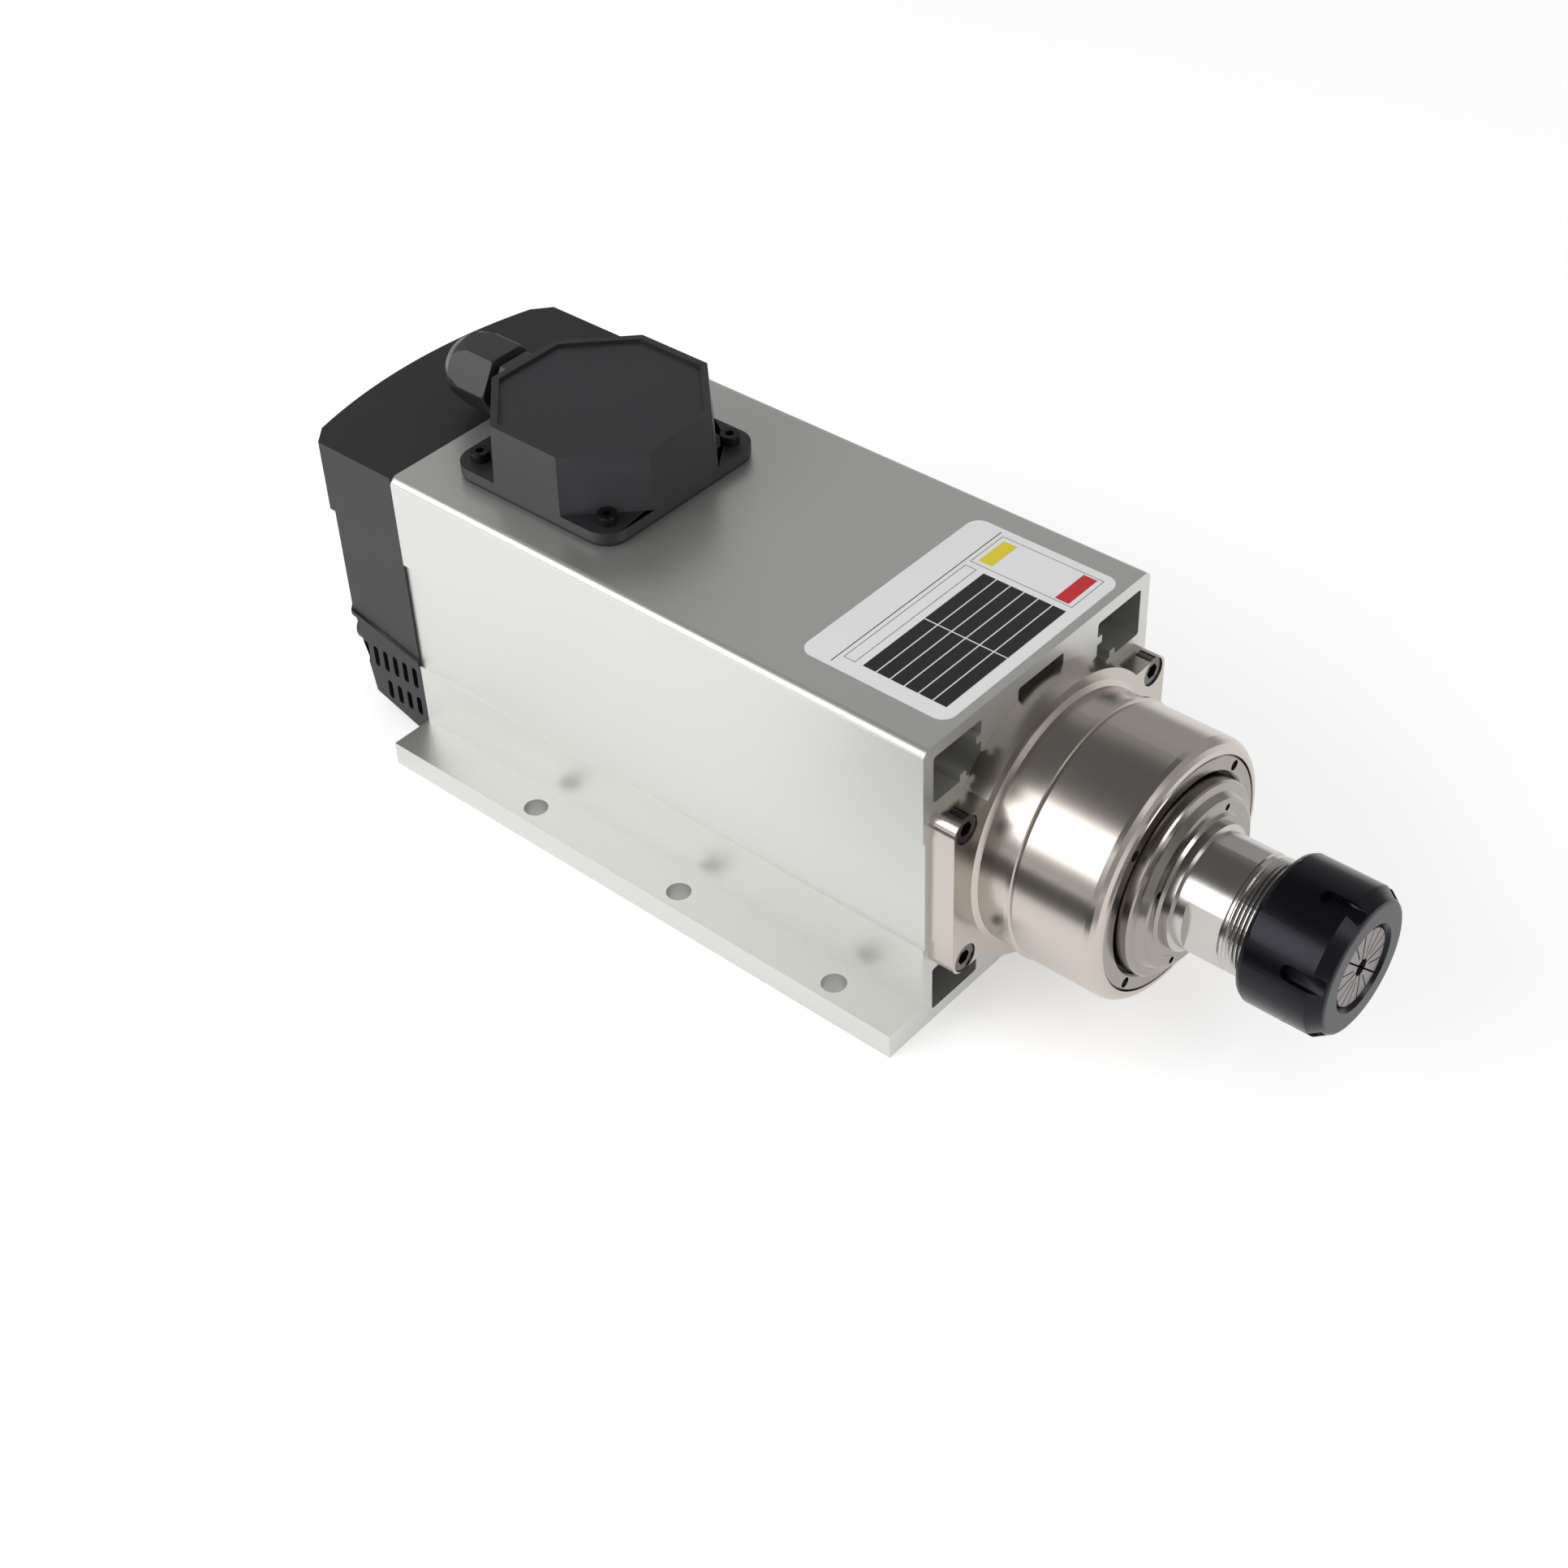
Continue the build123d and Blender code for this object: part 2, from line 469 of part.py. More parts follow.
# fan cover: moulded shell, open towards the body, with a round grille and four bosses
with BuildPart() as fan_cover:
    add(cover_solid(0.0))
    add(cover_ridge())
    add(cover_solid(COVER_T), mode=Mode.SUBTRACT)
    with BuildSketch(at_x(COVER_END - 1)) as grille:
        for ring in (42.0, 35.0, 28.0, 21.0, 14.0):
            Circle(ring + 2.2)
            Circle(ring - 2.2, mode=Mode.SUBTRACT)
        with PolarLocations(29.0, 8):
            Rectangle(40.0, 4.0, mode=Mode.SUBTRACT)
    extrude(amount=12, mode=Mode.SUBTRACT)
    for side in (-1, 1):
        with BuildSketch(Plane.XZ.offset(side * BODY_W / 2)) as below_ridge:
            with BuildLine():
                Polyline((COVER_END + 13.0, COVER_RIDGE[0] - 1), (REAR_X, COVER_RIDGE[1] - 1),
                         (REAR_X, -1), (COVER_END - 2, -1), (COVER_END - 2, COVER_RIDGE[0] - 1), close=True)
            make_face()
        extrude(amount=-side * RIDGE_D, mode=Mode.SUBTRACT)
    with BuildSketch(Plane.XZ) as vents:
        with Locations((REAR_X - 19.0, 27.0)):
            with GridLocations(5.4, 1, 6, 1):
                SlotOverall(9.5, 2.6, rotation=90)
        with Locations((REAR_X - 13.6, 13.5)):
            with GridLocations(5.4, 1, 4, 1):
                SlotOverall(8.5, 2.6, rotation=90)
    extrude(amount=BODY_W, both=True, mode=Mode.SUBTRACT)
    with BuildSketch(at_x(BOSS_X)) as bosses:
        with Locations(*ear_points()):
            Circle(6.4)
    extrude(amount=-7.0)
    with BuildSketch(at_x(BOSS_X - 3)) as head_wells:
        with Locations(*ear_points()):
            Circle(4.0)
    extrude(amount=-20, mode=Mode.SUBTRACT)
    with BuildSketch(at_x(BOSS_X)) as boss_holes:
        with Locations(*ear_points()):
            Circle(2.0)
    extrude(amount=-5, mode=Mode.SUBTRACT)
save(fan_cover.part, "fan_cover")

with BuildPart() as cover_screws:
    with BuildSketch(at_x(BOSS_X - 3)) as cover_heads:
        with Locations(*ear_points()):
            Circle(3.5)
    extrude(amount=-3.2)
    with BuildSketch(at_x(BOSS_X - 3)) as cover_shanks:
        with Locations(*ear_points()):
            Circle(1.62)
    extrude(amount=13)
save(cover_screws.part, "cover_screws")

# terminal box: gasket, one drafted moulding with an octagonal tower, screws and contents
def octagon(half):
    """A square with its four corners cut to leave equal sides."""
    cut = half * (sqrt(2) - 1)
    return [(-half, -cut), (-cut, -half), (cut, -half), (half, -cut),
            (half, cut), (cut, half), (-cut, half), (-half, cut)]


def box_screws():
    return [(BOX_X + sx * BOX_SCREW, BOX_Y + sy * BOX_SCREW) for sx in (-1, 1) for sy in (-1, 1)]


base_z = BODY_H + GASKET_T
with BuildPart() as terminal_gasket:
    with BuildSketch(Plane.XY.offset(BODY_H)) as seal:
        with Locations((BOX_X, BOX_Y)):
            RectangleRounded(2 * BOX_HALF - 1.0, 2 * BOX_HALF - 1.0, 9.0)
            Rectangle(50.0, 50.0, mode=Mode.SUBTRACT)
        with Locations(*box_screws()):
            Circle(2.2, mode=Mode.SUBTRACT)
    extrude(amount=GASKET_T)
save(terminal_gasket.part, "terminal_gasket")

with BuildPart() as terminal_box:
    with BuildSketch(Plane.XY.offset(base_z)):
        with Locations((BOX_X, BOX_Y)):
            RectangleRounded(2 * BOX_HALF, 2 * BOX_HALF, 9.5)
    extrude(amount=BOX_FLOOR - base_z)
    for low_half, top_half, low_z, top_z, kind in (
            (BOX_HALF, BOX_TOP_HALF, BOX_FLOOR - 0.5, BOX_TOP, Mode.ADD),
            (BOX_HALF - BOX_WALL, BOX_TOP_HALF - BOX_WALL, base_z, BOX_TOP - BOX_WALL, Mode.SUBTRACT)):
        with BuildSketch(Plane.XY.offset(low_z), mode=Mode.PRIVATE) as low_octagon:
            with Locations((BOX_X, BOX_Y)):
                Polygon(*octagon(low_half), align=None)
        with BuildSketch(Plane.XY.offset(top_z), mode=Mode.PRIVATE) as top_octagon:
            with Locations((BOX_X, BOX_Y)):
                Polygon(*octagon(top_half), align=None)
        loft([low_octagon.sketch, top_octagon.sketch], mode=kind)
    with BuildSketch(Plane.XY.offset(BOX_TOP)) as lid_recess:
        with Locations((BOX_X, BOX_Y)):
            Polygon(*octagon(BOX_TOP_HALF - 2.6), align=None)
    extrude(amount=-1.2, mode=Mode.SUBTRACT)
    with BuildSketch(Plane.XY.offset(BOX_FLOOR)) as box_holes:
        with Locations(*box_screws()):
            Circle(2.2)
    extrude(amount=-10, mode=Mode.SUBTRACT)
    with BuildSketch(Plane(origin=(BOX_X - BOX_HALF - 1, BOX_Y, GLAND_Z), x_dir=(0, 1, 0), z_dir=(1, 0, 0))):
        Circle(GLAND_R + 0.1)
    extrude(amount=10, mode=Mode.SUBTRACT)
save(terminal_box.part, "terminal_box")

with BuildPart() as terminal_screws:
    with BuildSketch(Plane.XY.offset(BOX_FLOOR)) as box_heads:
        with Locations(*box_screws()):
            Circle(3.5)
    extrude(amount=3.6)
    with BuildSketch(Plane.XY.offset(BOX_FLOOR)) as box_shanks:
        with Locations(*box_screws()):
            Circle(1.58)
    extrude(amount=-12)
    with BuildSketch(Plane.XY.offset(BOX_FLOOR + 3.6)) as box_sockets:
        with Locations(*box_screws()):
            RegularPolygon(1.75, 6)
    extrude(amount=-2.2, mode=Mode.SUBTRACT)
save(terminal_screws.part, "terminal_screws")

with BuildPart() as terminal_block:
    with Locations((BOX_X + 15, BOX_Y, BODY_H + 5)):
        Box(14.0, 40.0, 10.0)
    with Locations(*[(BOX_X + 15, BOX_Y - 13.5 + 9.0 * i, BODY_H + 9) for i in range(4)]):
        Cylinder(2.4, 4.0, mode=Mode.SUBTRACT)
save(terminal_block.part, "terminal_block")

# cable gland on the tower's rear side: body, clamping seal, dome nut and inner locknut
gland_x = BOX_X - BOX_TOP_HALF - 0.9
gland_axis = Axis((0, BOX_Y, GLAND_Z), (1, 0, 0))


def gland_section(*points):
    """A closed half section through the gland axis: (distance out from the box, radius)."""
    with BuildSketch(Plane.XZ.offset(-BOX_Y)) as half:
        with BuildLine():
            Polyline(*[(gland_x - out, GLAND_Z + r) for out, r in points], close=True)
        make_face()
    return half.sketch


with BuildPart() as gland_body:
    revolve(gland_section((-10, 6.6), (-10, GLAND_R), (GLAND_L - 17.0, GLAND_R),
                          (GLAND_L - 17.0, 6.6)), axis=gland_axis)
    with BuildSketch(Plane(origin=(gland_x - 5, BOX_Y, GLAND_Z), x_dir=(0, 1, 0), z_dir=(1, 0, 0))):
        RegularPolygon(12.6, 6)
        Circle(7.5, mode=Mode.SUBTRACT)
    extrude(amount=4.7)
save(gland_body.part, "gland_body")

with BuildPart() as gland_seal:
    revolve(gland_section((3.0, GLAND_BORE_R), (3.0, 6.5), (GLAND_L - 9.0, 6.5),
                          (GLAND_L - 9.0, GLAND_BORE_R)), axis=gland_axis)
save(gland_seal.part, "gland_seal")

with BuildPart() as gland_nut:
    revolve(gland_section((7.5, GLAND_R + 0.1), (7.5, 13.4), (8.3, 14.0), (GLAND_L - 13.0, 14.0),
                          (GLAND_L - 7.0, 12.6), (GLAND_L - 2.5, 9.6), (GLAND_L, 6.4), (GLAND_L, 5.6),
                          (GLAND_L - 8.0, 5.8), (GLAND_L - 8.0, 7.2), (GLAND_L - 15.0, 7.2),
                          (GLAND_L - 16.0, GLAND_R + 0.1)), axis=gland_axis)
    with BuildSketch(Plane(origin=(gland_x, BOX_Y, GLAND_Z), x_dir=(0, 1, 0), z_dir=(1, 0, 0))):
        RegularPolygon(14.2, 6)
    extrude(amount=-GLAND_L - 2, mode=Mode.INTERSECT)
save(gland_nut.part, "gland_nut")

with BuildPart() as gland_locknut:
    with BuildSketch(Plane(origin=(BOX_X - BOX_TOP_HALF + BOX_WALL + 0.1, BOX_Y, GLAND_Z),
                           x_dir=(0, 1, 0), z_dir=(1, 0, 0))):
        RegularPolygon(11.2, 6)
        Circle(GLAND_R + 0.05, mode=Mode.SUBTRACT)
    extrude(amount=4.0)
save(gland_locknut.part, "gland_locknut")

# collet: double taper body with eight slits from each end and short ones between them in its face
collet_rear = SHAFT_END - 32.0
seat = taper_mouth - TRAVEL_GAP
with BuildPart() as collet:
    revolve(profile((collet_rear, COLLET_R), (collet_rear, seat - 32 * TAPER - 0.6),
                    (collet_rear + 0.6, seat - 31.4 * TAPER), (SHAFT_END, seat),
                    (SHAFT_END + 1.4, 16.4), (SHAFT_END + 1.4, 14.3), (SHAFT_END + 3.6, 14.3),
                    (SHAFT_END + 3.6, 16.2), (SHAFT_END + 3.9, 16.2), (COLLET_FACE, 13.55),
                    (COLLET_FACE, COLLET_R)), axis=SPINDLE_AXIS)
    with BuildSketch(at_x(COLLET_FACE)) as short_slits:
        with PolarLocations(9.6, 8, start_angle=22.5):
            Rectangle(9.0, 0.45)
    extrude(amount=-2.0, mode=Mode.SUBTRACT)
    with Locations((0, 0, AXIS_Z)):
        for i in range(8):
            for turn, x_mid in ((i * 45.0, (COLLET_FACE + collet_rear) / 2 + 4.0),
                                (i * 45.0 + 22.5, (COLLET_FACE + collet_rear) / 2 - 4.0)):
                angle = radians(turn)
                with Locations(Location((x_mid, -sin(angle) * 12.0, cos(angle) * 12.0), (turn, 0, 0))):
                    Box(COLLET_FACE - collet_rear, 0.6, 24.0 - 2 * 1.0, mode=Mode.SUBTRACT)
save(collet.part, "collet")

# collet nut: six hook slots, closing cone and the ring that draws the collet out
with BuildPart() as collet_nut:
    revolve(profile((NUT_X, THREAD_R + 0.7), (NUT_X, NUT_R - 2.4), (NUT_X + 0.7, NUT_R - 0.9),
                    (NUT_X + 2.4, NUT_R), (NUT_END - 5.0, NUT_R), (NUT_END - 0.6, NUT_R - 3.0),
                    (NUT_END, NUT_R - 4.2), (NUT_END, 15.6), (NUT_END - 1.4, 14.5), (NUT_END - 1.9, 14.25),
                    (SHAFT_END + 4.0, 16.34), (SHAFT_END + 3.3, 16.5), (SHAFT_END + 3.3, 14.6),
                    (SHAFT_END + 1.7, 14.6), (SHAFT_END + 1.7, 16.9), (SHAFT_END + 0.6, 16.9),
                    (SHAFT_END + 0.6, THREAD_R + 0.1), (NUT_X + 0.8, THREAD_R + 0.1)), axis=SPINDLE_AXIS)
    for i in range(6):
        y, z = cos(radians(40 + 60 * i)), sin(radians(40 + 60 * i))
        floor_r = NUT_R - HOOK_DEEP
        with BuildSketch(Plane(origin=(NUT_END - HOOK_L, y * floor_r, AXIS_Z + z * floor_r),
                               x_dir=(1, 0, 0), z_dir=(0, y, z))) as hook_slot:
            with Locations((HOOK_W / 2, 0)):
                Circle(HOOK_W / 2)
            with Locations((HOOK_W / 2 + HOOK_L / 2, 0)):
                Rectangle(HOOK_L, HOOK_W)
        extrude(amount=HOOK_DEEP + 2, mode=Mode.SUBTRACT)
save(collet_nut.part, "collet_nut")

# bare rating label on the top face
with BuildPart() as rating_label:
    with BuildSketch(Plane.XY.offset(BODY_H)) as sticker:
        with Locations((LABEL[0], LABEL[1])):
            RectangleRounded(LABEL[2], LABEL[3], 5.0)
    extrude(amount=0.15)
save(rating_label.part, "rating_label")
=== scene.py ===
import math
import bmesh
import bpy
from mathutils import Matrix, Vector


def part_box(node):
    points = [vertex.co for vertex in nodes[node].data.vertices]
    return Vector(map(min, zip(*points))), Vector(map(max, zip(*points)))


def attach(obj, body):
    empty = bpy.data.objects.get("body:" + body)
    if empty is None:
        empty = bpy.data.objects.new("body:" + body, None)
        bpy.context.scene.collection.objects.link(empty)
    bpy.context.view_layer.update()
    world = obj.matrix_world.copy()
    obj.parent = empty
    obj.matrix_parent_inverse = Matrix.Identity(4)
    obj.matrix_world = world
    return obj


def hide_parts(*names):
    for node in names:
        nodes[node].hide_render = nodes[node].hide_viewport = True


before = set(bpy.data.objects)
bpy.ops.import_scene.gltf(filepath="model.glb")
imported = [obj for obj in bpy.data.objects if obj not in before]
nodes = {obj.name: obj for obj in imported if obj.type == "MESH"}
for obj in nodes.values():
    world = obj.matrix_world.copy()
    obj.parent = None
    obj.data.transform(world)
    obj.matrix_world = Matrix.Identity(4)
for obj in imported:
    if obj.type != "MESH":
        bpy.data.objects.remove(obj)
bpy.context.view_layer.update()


# The body is one aluminium extrusion, saw cut, bead blasted and clear anodised. Its finish is
# satin, with fine grain along the extrusion and a slow mottle in the sheen.
def add_node(tree, kind, **values):
    """A new shader node with some sockets set, an underscore standing for a space."""
    node = tree.nodes.new(kind)
    for socket, value in values.items():
        node.inputs[socket.replace("_", " ")].default_value = value
    return node


def finish(name, colour, metal, rough, grain, depth, spread=0.06, mottle=0.05, patch=60.0):
    """A finish with fine grain in its bump and a slow mottle in its gloss and tone.

    grain is how dense the fine pattern is along x, y and z, depth its height in metres and
    patch how dense the slow pattern is. It varies the gloss by spread and the tone by mottle.
    """
    material = bpy.data.materials.new(name)
    material.use_nodes = True
    tree = material.node_tree
    link = tree.links.new
    shader = tree.nodes["Principled BSDF"]
    shader.inputs["Metallic"].default_value = metal
    place = add_node(tree, "ShaderNodeTexCoord")
    stretch = add_node(tree, "ShaderNodeMapping", Scale=grain)
    fine = add_node(tree, "ShaderNodeTexNoise", Scale=1.0, Detail=3.0)
    bump = add_node(tree, "ShaderNodeBump", Strength=0.5, Distance=depth)
    link(place.outputs["Object"], stretch.inputs["Vector"])
    link(stretch.outputs["Vector"], fine.inputs["Vector"])
    link(fine.outputs["Fac"], bump.inputs["Height"])
    link(bump.outputs["Normal"], shader.inputs["Normal"])
    slow = add_node(tree, "ShaderNodeTexNoise", Scale=patch, Detail=5.0)
    gloss = add_node(tree, "ShaderNodeMapRange", To_Min=rough - spread, To_Max=rough + spread)
    link(place.outputs["Object"], slow.inputs["Vector"])
    link(slow.outputs["Fac"], gloss.inputs["Value"])
    link(gloss.outputs["Result"], shader.inputs["Roughness"])
    tone = add_node(tree, "ShaderNodeMix")
    tone.data_type = "RGBA"
    share, darker, lighter = (tone.inputs[socket] for socket in (0, 6, 7))
    mixed = tone.outputs[2]
    darker.default_value = (*[level * (1 - mottle) for level in colour], 1)
    lighter.default_value = (*[min(1, level * (1 + mottle)) for level in colour], 1)
    link(slow.outputs["Fac"], share)
    link(mixed, shader.inputs["Base Color"])
    return material


def dress(material, *node_names):
    """Give the solids of these nodes one finish."""
    for node_name in node_names:
        mesh = nodes[node_name].data
        mesh.materials.clear()
        mesh.materials.append(material)
        for face in mesh.polygons:
            face.material_index = 0


satin_aluminium = finish("satin_aluminium", (0.68, 0.68, 0.655), metal=0.85, rough=0.40,
                         grain=(350, 4200, 4200), depth=0.00002, spread=0.05, mottle=0.03,
                         patch=9.0)
dress(satin_aluminium, "body_extrusion")


# The nose is a nickel-plated steel casting, turned all over, so fine rings run round it. Dark
# socket screws hold its ears to the body and the cap to its face.
warm_nickel = finish("warm_nickel", (0.57, 0.52, 0.475), metal=1.0, rough=0.24,
                     grain=(5200, 60, 60), depth=0.00001, spread=0.05, mottle=0.04, patch=30.0)
dress(warm_nickel, "nose_housing")
# The bearing cap and labyrinth ring take a darker copy of the nickel. This is painted shade,
# standing in for the dark reflections on their faces.
shaded_nickel = finish("shaded_nickel", (0.36, 0.33, 0.30), metal=1.0, rough=0.22,
                       grain=(3000, 160, 160), depth=0.00001, spread=0.04, mottle=0.05,
                       patch=45.0)
dress(shaded_nickel, "front_bearing_cap", "labyrinth_ring")
screw_steel = finish("screw_steel", (0.15, 0.145, 0.14), metal=1.0, rough=0.28,
                     grain=(3000, 3000, 3000), depth=0.00001, spread=0.08, mottle=0.2,
                     patch=150.0)
dress(screw_steel, "nose_screws", "cap_screws")


# The shaft is ground steel. Its nose carries a fine right-hand thread, cut as a ridge that
# winds along the neck up to the nut.
def piece_from(form, name, material):
    """A new object in the scene, made from a bmesh and one finish."""
    mesh = bpy.data.meshes.new(name)
    form.to_mesh(mesh)
    form.free()
    mesh.materials.append(material)
    piece = bpy.data.objects.new(name, mesh)
    bpy.context.scene.collection.objects.link(piece)
    return piece


ground_steel = finish("ground_steel", (0.55, 0.53, 0.51), metal=1.0, rough=0.23,
                      grain=(4200, 120, 120), depth=0.00001, spread=0.06, mottle=0.04,
                      patch=60.0)
dress(ground_steel, "shaft")
spindle_z = 0.060
thread_pitch, thread_root, thread_crest = 0.0015, 0.0200, 0.02055
crest_from, crest_to = 0.0006, 0.0009
thread_from, nut_rear = 0.1866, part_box("collet_nut")[0].x
thread_turns = (nut_rear - thread_from) / thread_pitch - 1.0
steps_a_turn = 72
ridge = bmesh.new()
ridge_profile = ((0.0, thread_root), (crest_from, thread_crest),
                 (crest_to, thread_crest), (thread_pitch, thread_root))
corners = [ridge.verts.new((thread_from + along, 0, spindle_z + radius))
           for along, radius in ridge_profile]
edges = [ridge.edges.new(pair) for pair in zip(corners, corners[1:])]
bmesh.ops.spin(ridge, geom=corners + edges, cent=(0, 0, spindle_z), axis=(1, 0, 0),
               dvec=(thread_pitch / steps_a_turn, 0, 0), angle=2 * math.pi * thread_turns,
               steps=int(steps_a_turn * thread_turns), use_duplicate=False)
bmesh.ops.recalc_face_normals(ridge, faces=ridge.faces)
nose_thread = piece_from(ridge, "nose_thread", ground_steel)
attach(nose_thread, "rotor")


# The collet is spring steel, slit from both ends. Its nut is hardened, blackened and
# balanced, with rounded edges round the hook slots.
weld_gap, edge_steps = 0.000002, 3
flat_angle, sharp_angle = math.radians(0.05), math.radians(28)


def softened(node_name, piece_name, width, material, body):
    """Put a copy with rounded outer edges in the place of a node's solid."""
    mesh = nodes[node_name].data.copy()
    mesh.name = piece_name
    form = bmesh.new()
    form.from_mesh(mesh)
    bmesh.ops.remove_doubles(form, verts=form.verts, dist=weld_gap)
    bmesh.ops.dissolve_limit(form, angle_limit=flat_angle, verts=form.verts, edges=form.edges)
    rounded = form.edges.layers.float.new("bevel_weight_edge")
    for edge in form.edges:
        if edge.is_manifold and edge.calc_face_angle() > sharp_angle:
            if edge.is_convex:
                edge[rounded] = 1.0
            else:
                edge.smooth = False
    form.to_mesh(mesh)
    form.free()
    mesh.materials.clear()
    mesh.materials.append(material)
    for face in mesh.polygons:
        face.material_index = 0
        face.use_smooth = True
    piece = bpy.data.objects.new(piece_name, mesh)
    bpy.context.scene.collection.objects.link(piece)
    bevel = piece.modifiers.new("edge", "BEVEL")
    bevel.width = width
    bevel.segments = edge_steps
    bevel.limit_method = "WEIGHT"
    bevel.use_clamp_overlap = True
    flatten = piece.modifiers.new("flatten", "WEIGHTED_NORMAL")
    flatten.keep_sharp = True
    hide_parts(node_name)
    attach(piece, body)


collet_steel = finish("collet_steel", (0.27, 0.245, 0.24), metal=1.0, rough=0.38,
                      grain=(900, 900, 900), depth=0.00001, spread=0.06, mottle=0.06,
                      patch=120.0)
dress(collet_steel, "collet")
nut_black = finish("nut_black", (0.013, 0.0135, 0.018), metal=0.75, rough=0.27,
                   grain=(2600, 90, 90), depth=0.00001, spread=0.05, mottle=0.15, patch=70.0)
softened("collet_nut", "collet_nut_body", 0.0005, nut_black, "collet_nut")


# The fan cover is moulded from charcoal nylon with a fine texture. Black screws hold it to
# steel posts behind the body, and the fan draws air through its round grille.
charcoal_nylon = finish("charcoal_nylon", (0.014, 0.0145, 0.0165), metal=0.0, rough=0.50,
                        grain=(1500, 1500, 1500), depth=0.00004, spread=0.06, mottle=0.12,
                        patch=40.0)
softened("fan_cover", "fan_cover_shell", 0.0014, charcoal_nylon, "housing")
black_oxide = finish("black_oxide", (0.016, 0.016, 0.018), metal=0.6, rough=0.32,
                     grain=(3000, 3000, 3000), depth=0.00001, spread=0.08, mottle=0.2,
                     patch=150.0)
dress(black_oxide, "cover_screws")
fan_nylon = finish("fan_nylon", (0.03, 0.03, 0.032), metal=0.0, rough=0.5,
                   grain=(900, 900, 900), depth=0.00004, mottle=0.1)
dress(fan_nylon, "fan")
zinc_steel = finish("zinc_steel", (0.55, 0.56, 0.58), metal=1.0, rough=0.34,
                    grain=(1200, 1200, 1200), depth=0.00001, mottle=0.08)
dress(zinc_steel, "cover_posts", "fan_nut", "fan_spacer", "wave_spring")


# The terminal box is one drafted moulding with an octagonal tower, screwed down on a rubber
# gasket. Inside it stands a pale terminal block.
box_nylon = finish("box_nylon", (0.021, 0.0215, 0.025), metal=0.0, rough=0.44,
                   grain=(1800, 1800, 1800), depth=0.00003, spread=0.05, mottle=0.08,
                   patch=50.0)
softened("terminal_box", "terminal_box_body", 0.0005, box_nylon, "housing")
dress(black_oxide, "terminal_screws")
rubber = finish("rubber", (0.012, 0.012, 0.012), metal=0.0, rough=0.7, grain=(1500, 1500, 1500),
                depth=0.00003, mottle=0.2)
dress(rubber, "terminal_gasket")
pale_moulding = finish("pale_moulding", (0.62, 0.62, 0.58), metal=0.0, rough=0.45,
                       grain=(900, 900, 900), depth=0.00002)
dress(pale_moulding, "terminal_block")


# The cable gland is black nylon: a hexagonal body, a dome nut that squeezes the rubber seal,
# and a locknut inside the box.
gland_nylon = finish("gland_nylon", (0.026, 0.026, 0.029), metal=0.0, rough=0.36,
                     grain=(1400, 1400, 1400), depth=0.00003, spread=0.06, mottle=0.12,
                     patch=80.0)
softened("gland_body", "gland_body_hex", 0.0004, gland_nylon, "housing")
softened("gland_nut", "gland_dome_nut", 0.0006, gland_nylon, "housing")
dress(gland_nylon, "gland_locknut")
dress(rubber, "gland_seal")


# The rating label is a white film with a black table ruled in white. It is left bare of words,
# with plain colour blocks where a label of this kind has its notices.
label_film = finish("label_film", (0.86, 0.86, 0.86), metal=0.0, rough=0.38,
                    grain=(700, 700, 700), depth=0.00001, spread=0.03, mottle=0.015)
dress(label_film, "rating_label")
label_low, label_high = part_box("rating_label")
ink_z = label_high.z + 0.00004


def ink_blocks(name, colour, blocks):
    """Rectangles printed on the label, as low x, low y, high x and high y from its corner."""
    ink = bmesh.new()
    for x0, y0, x1, y1 in blocks:
        centre = (label_low.x + (x0 + x1) / 2, label_low.y + (y0 + y1) / 2, ink_z)
        printed = bmesh.ops.create_grid(ink, x_segments=1, y_segments=1, size=0.5)["verts"]
        bmesh.ops.scale(ink, verts=printed, vec=(x1 - x0, y1 - y0, 1))
        bmesh.ops.translate(ink, verts=printed, vec=centre)
    ink_film = finish(name, colour, metal=0.0, rough=0.36, grain=(700, 700, 700), depth=0.00001,
                      mottle=0.04)
    piece = piece_from(ink, name, ink_film)
    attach(piece, "housing")


def ruled(x0, y0, x1, y1, line=0.0002):
    """The four thin lines that frame a rectangle."""
    return [(x0, y0, x0 + line, y1), (x1 - line, y0, x1, y1),
            (x0, y0, x1, y0 + line), (x0, y1 - line, x1, y1)]


table_low, table_high = (0.0215, 0.0060), (0.0555, 0.0690)
gap, rows, columns = 0.0005, 6, 2
row_x = (table_high[0] - table_low[0]) / rows
column_y = (table_high[1] - table_low[1]) / columns
cells = [(table_low[0] + row * row_x + gap / 2,
          table_low[1] + column * column_y + gap / 2,
          table_low[0] + (row + 1) * row_x - gap / 2,
          table_low[1] + (column + 1) * column_y - gap / 2)
         for row in range(rows) for column in range(columns)]
heading_line = (0.0120, 0.0020, 0.01235, 0.0910)
title_frame = (0.0140, 0.0060, 0.0187, 0.0690)
notice_frame = (0.0140, 0.0715, 0.0555, 0.0895)
yellow_notice = (0.0160, 0.0735, 0.0215, 0.0875)
red_notice = (0.0480, 0.0725, 0.0535, 0.0885)
ink_blocks("label_table", (0.012, 0.012, 0.012), cells)
ink_blocks("label_rules", (0.02, 0.02, 0.02),
           [heading_line, *ruled(*title_frame), *ruled(*notice_frame)])
ink_blocks("label_yellow", (0.80, 0.66, 0.03), [yellow_notice])
ink_blocks("label_red", (0.60, 0.02, 0.025), [red_notice])


